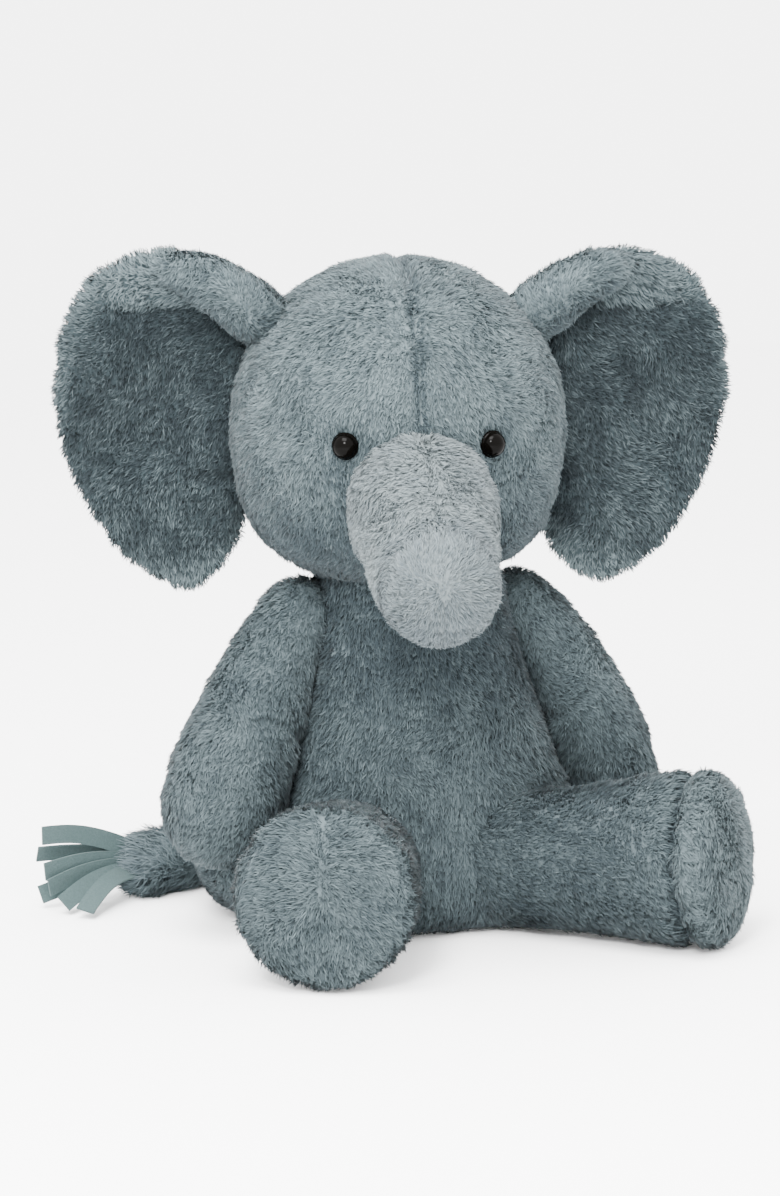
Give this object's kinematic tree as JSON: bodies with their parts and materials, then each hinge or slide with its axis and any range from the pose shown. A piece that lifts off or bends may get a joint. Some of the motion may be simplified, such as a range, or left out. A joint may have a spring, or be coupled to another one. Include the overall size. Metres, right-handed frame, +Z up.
{
  "type": "stuffed toy elephant",
  "caption": "Seated plush elephant with a jointed soft head, trunk, ears, arms, legs and a fringed tail.",
  "frame": {"origin": "on the resting plane, at the torso's middle line; Z = 0 is the flat seat", "axes": "+Z up, the toy faces -Y, and its own left side is +X"},
  "size_m": [0.2754, 0.2413, 0.2747],
  "materials": {
    "plush": "short dense blue-grey plush",
    "trunk_plush": "paler blue-grey plush",
    "ear_plush": "darker blue-grey plush with a longer pile",
    "suede": "grey-green faux suede",
    "bead": "glossy black-brown",
    "washer": "white moulded plastic",
    "stuffing": "loose white polyester fibre",
    "pouch": "plain woven pouch filled with plastic pellets",
    "thread": "twisted sewing thread"
  },
  "bodies": {
    "torso": {"body_front": "plush", "body_back": "plush", "seat_panel": "plush", "body_stuffing": "stuffing", "pellet_pouch": "pouch"},
    "neck": {"neck_stitching": "thread"},
    "head": {"head_cover_left": "plush", "head_cover_right": "plush", "head_stuffing": "stuffing", "eye_left": "bead", "eye_right": "bead", "eye_washer_left": "washer", "eye_washer_right": "washer"},
    "trunk": {"trunk_cover": "trunk_plush", "trunk_stuffing": "stuffing"},
    "ear_left": {"ear_left_front": "ear_plush", "ear_left_padding": "stuffing", "ear_left_back": "plush"},
    "ear_right": {"ear_right_front": "ear_plush", "ear_right_padding": "stuffing", "ear_right_back": "plush"},
    "arm_left": {"arm_left_cover": "plush", "arm_left_stuffing": "stuffing"},
    "arm_right": {"arm_right_cover": "plush", "arm_right_stuffing": "stuffing"},
    "leg_left": {"leg_left_cover": "plush", "leg_left_stuffing": "stuffing", "sole_left": "plush"},
    "leg_right": {"leg_right_cover": "plush", "leg_right_stuffing": "stuffing", "sole_right": "plush"},
    "tail": {"tail_cover": "plush", "tail_stuffing": "stuffing", "tail_fringe": "suede"}
  },
  "joints": [
    {"name": "head_nod", "type": "hinge", "parent": "torso", "child": "neck", "pos_m": [-0.008, -0.01, 0.202], "axis": [0.9848, -0.1736, 0], "range_deg": [-8, 8]},
    {"name": "head_turn", "type": "hinge", "parent": "neck", "child": "head", "pos_m": [-0.008, -0.01, 0.202], "axis": [0, 0, 1], "range_deg": [-30, 45]},
    {"name": "trunk_lift", "type": "hinge", "parent": "head", "child": "trunk", "pos_m": [-0.01772, -0.06515, 0.176], "axis": [-0.9848, 0.1736, 0], "range_deg": [-8, 16]},
    {"name": "ear_left_flap", "type": "hinge", "parent": "head", "child": "ear_left", "pos_m": [0.03565, -0.01008, 0.255], "axis": [-0.1466, 0.0258, 0.9889], "range_deg": [-20, 12]},
    {"name": "ear_right_flap", "type": "hinge", "parent": "head", "child": "ear_right", "pos_m": [-0.04904, 0.00485, 0.255], "axis": [0.1466, -0.0258, 0.9889], "range_deg": [-12, 20]},
    {"name": "arm_left_lift", "type": "hinge", "parent": "torso", "child": "arm_left", "pos_m": [0.048, -0.003, 0.124], "axis": [0, -1, 0], "range_deg": [0, 45]},
    {"name": "arm_right_lift", "type": "hinge", "parent": "torso", "child": "arm_right", "pos_m": [-0.048, -0.003, 0.124], "axis": [0, 1, 0], "range_deg": [0, 45]},
    {"name": "leg_left_swing", "type": "hinge", "parent": "torso", "child": "leg_left", "pos_m": [0.039, -0.042, 0.029], "axis": [0.6529, 0.7574, 0], "range_deg": [-12, 12]},
    {"name": "leg_right_swing", "type": "hinge", "parent": "torso", "child": "leg_right", "pos_m": [-0.038, -0.041, 0.029], "axis": [0.9122, -0.4098, 0], "range_deg": [-12, 12]},
    {"name": "tail_swing", "type": "hinge", "parent": "torso", "child": "tail", "pos_m": [-0.02, 0.086, 0.016], "axis": [0, 0, 1], "range_deg": [-30, 0]}
  ]
}
